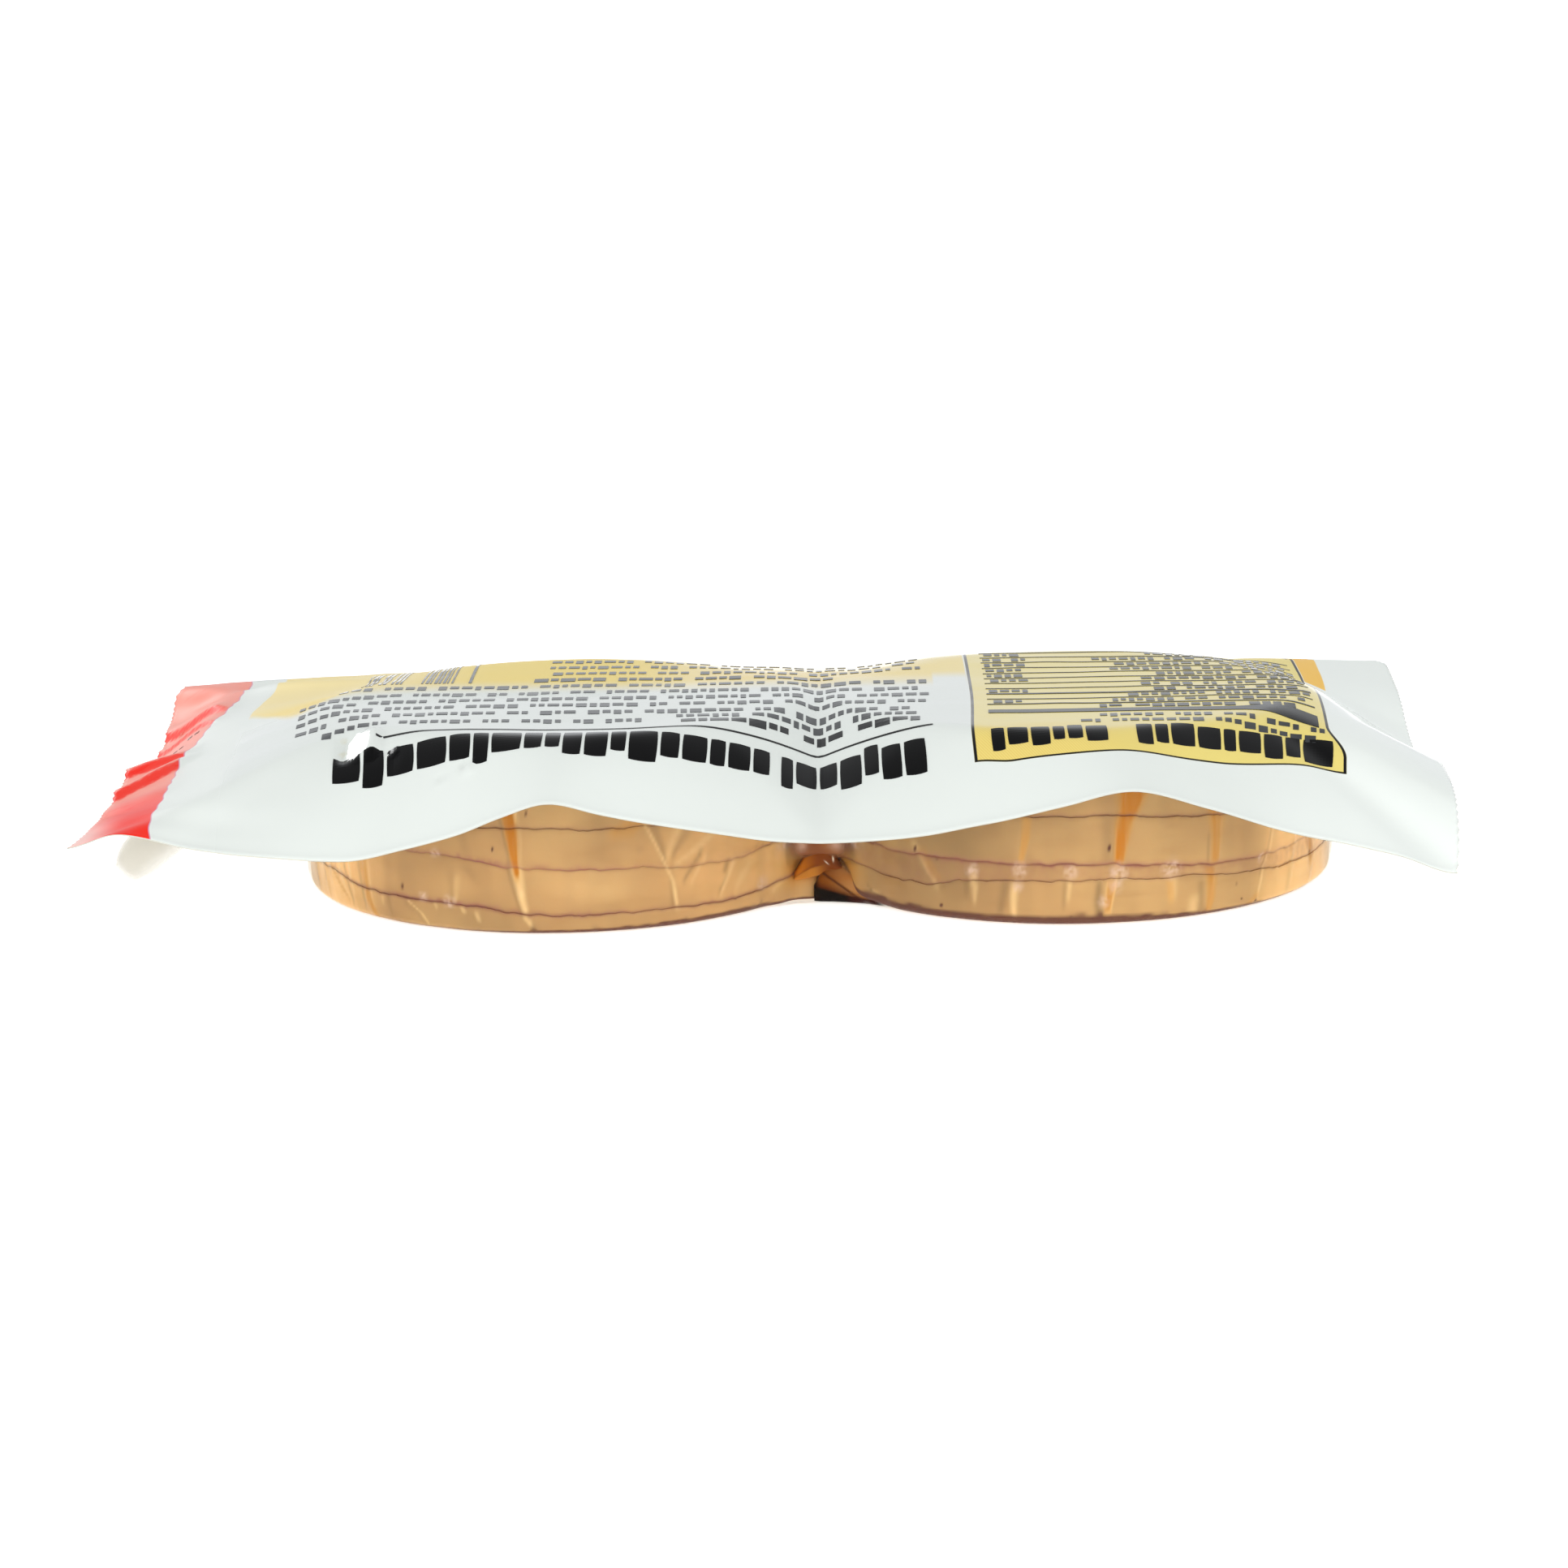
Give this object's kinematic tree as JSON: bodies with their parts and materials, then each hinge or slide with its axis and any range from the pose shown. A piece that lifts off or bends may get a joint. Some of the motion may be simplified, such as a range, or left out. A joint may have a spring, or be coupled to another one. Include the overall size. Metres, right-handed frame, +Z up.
{
  "type": "pack of sliced liverwurst",
  "caption": "Flat sealed pack lying face down: side-by-side stacks of round liverwurst slices in clear deep-drawn film, closed by a white printed film with a red peel strip.",
  "frame": {"origin": "centre of the pack's footprint on the surface it lies on", "axes": "+X along the pack's length, the red strip at -X; -Y is the near long edge; +Z up, the printed film on top"},
  "size_m": [0.1862, 0.093, 0.0272],
  "materials": {
    "printed_film": null,
    "clear_film": "clear glossy formed film, creased, with amber juice in the creases",
    "liverwurst": null
  },
  "bodies": {
    "root": {"lid_film": "printed_film", "formed_film": "clear_film", "slice_left_1": "liverwurst", "slice_left_2": "liverwurst", "slice_left_3": "liverwurst", "slice_left_4": "liverwurst", "slice_left_5": "liverwurst", "slice_right_1": "liverwurst", "slice_right_2": "liverwurst", "slice_right_3": "liverwurst", "slice_right_4": "liverwurst", "slice_right_5": "liverwurst"}
  },
  "joints": []
}
